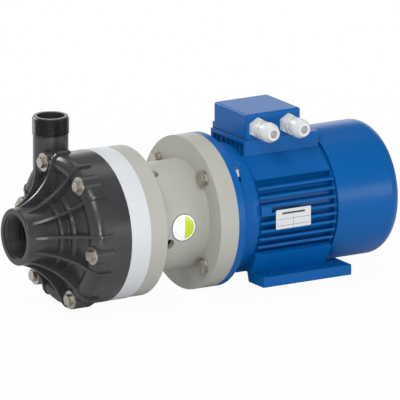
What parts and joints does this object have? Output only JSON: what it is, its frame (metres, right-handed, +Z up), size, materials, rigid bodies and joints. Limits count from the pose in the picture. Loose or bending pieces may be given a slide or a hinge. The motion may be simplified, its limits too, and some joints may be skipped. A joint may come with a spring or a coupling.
{
  "type": "magnetic drive chemical pump",
  "caption": "Magnet-driven plastic chemical pump: ribbed casing with threaded suction and discharge nozzles, grey bracket and a blue finned electric motor on feet.",
  "frame": {"origin": "middle of the four foot holes, on the foot plane", "axes": "+X along the shaft from the suction nozzle to the fan cowl, +Z up along the discharge nozzle, -Y towards the cable glands"},
  "size_m": [0.529, 0.2032, 0.2373],
  "materials": {
    "casing_plastic": "charcoal injection-moulded plastic, softly glossy",
    "ring_plastic": "white moulded plastic",
    "bracket_paint": "warm grey enamel on a casting",
    "motor_paint": "blue enamel on castings and sheet",
    "stainless": "plain stainless steel",
    "zinc_steel": "zinc plated steel",
    "gland_plastic": "white moulded plastic",
    "black_rubber": "black moulded rubber",
    "label_film": "printed plastic film",
    "plate_sheet": "thin white coated sheet",
    "ceramic": "fine white ceramic",
    "bush_carbon": "carbon filled plastic",
    "wet_plastic": "black chemical-proof plastic",
    "magnet": "sintered magnet, nickel coated",
    "shaft_steel": "turned steel",
    "core_steel": "stacked sheet steel",
    "copper_wire": "varnished copper wire",
    "bearing_steel": "polished bearing steel",
    "fan_plastic": "black moulded plastic",
    "board_plastic": "brown moulded plastic",
    "stud_brass": "plain brass"
  },
  "bodies": {
    "housing": {"front_casing": "casing_plastic", "casing_bolts": "stainless", "casing_washers": "stainless", "rear_casing": "ring_plastic", "containment_can": "ring_plastic", "casing_seal": "black_rubber", "shaft_support": "wet_plastic", "pump_shaft": "ceramic", "front_thrust_ring": "ceramic", "rear_thrust_ring": "ceramic", "wear_ring": "ceramic", "bracket_pump_flange": "bracket_paint", "bracket_neck": "bracket_paint", "bracket_motor_end": "bracket_paint", "round_label": "label_film", "flange_washers": "stainless", "flange_bolts": "stainless", "flange_nuts": "stainless", "drive_end_shield": "motor_paint", "drive_end_screws": "zinc_steel", "shaft_seal": "black_rubber", "motor_frame": "motor_paint", "near_foot": "motor_paint", "far_foot": "motor_paint", "foot_screws": "zinc_steel", "stator_core": "core_steel", "stator_windings": "copper_wire", "front_bearing_outer": "bearing_steel", "rear_bearing_outer": "bearing_steel", "fan_end_shield": "motor_paint", "fan_end_screws": "zinc_steel", "bearing_spring": "shaft_steel", "fan_cowl": "motor_paint", "cowl_screws": "zinc_steel", "terminal_gasket": "black_rubber", "terminal_hood": "motor_paint", "hood_screws": "zinc_steel", "terminal_board": "board_plastic", "terminal_studs": "stud_brass", "gland_bodies": "gland_plastic", "gland_lock_nuts": "gland_plastic", "gland_caps": "gland_plastic", "gland_seals": "black_rubber", "rating_plate": "plate_sheet"},
    "motor_rotor": {"motor_shaft": "shaft_steel", "rotor_core": "core_steel", "cooling_fan": "fan_plastic", "fan_clip": "zinc_steel", "outer_magnet_hub": "shaft_steel", "outer_magnets": "magnet", "hub_key": "shaft_steel", "hub_screws": "zinc_steel", "front_bearing_inner": "bearing_steel", "rear_bearing_inner": "bearing_steel"},
    "pump_rotor": {"impeller": "wet_plastic", "impeller_bush": "bush_carbon", "inner_magnets": "magnet", "rotor_end_cap": "wet_plastic"},
    "front_balls": {"front_bearing_balls": "bearing_steel"},
    "rear_balls": {"rear_bearing_balls": "bearing_steel"}
  },
  "joints": [
    {"name": "motor_shaft_spin", "type": "hinge", "parent": "housing", "child": "motor_rotor", "pos_m": [0, 0, 0.09], "axis": [1, 0, 0], "continuous": true},
    {"name": "impeller_spin", "type": "hinge", "parent": "housing", "child": "pump_rotor", "pos_m": [-0.22, 0, 0.09], "axis": [1, 0, 0], "continuous": true},
    {"name": "front_cage_spin", "type": "hinge", "parent": "housing", "child": "front_balls", "pos_m": [-0.0845, 0, 0.09], "axis": [1, 0, 0], "continuous": true},
    {"name": "rear_cage_spin", "type": "hinge", "parent": "housing", "child": "rear_balls", "pos_m": [0.0655, 0, 0.09], "axis": [1, 0, 0], "continuous": true}
  ],
  "couplings": [
    {"joint": "impeller_spin", "follows": "motor_shaft_spin", "ratio": 1},
    {"joint": "front_cage_spin", "follows": "motor_shaft_spin", "ratio": 0.3974},
    {"joint": "rear_cage_spin", "follows": "motor_shaft_spin", "ratio": 0.3974}
  ]
}
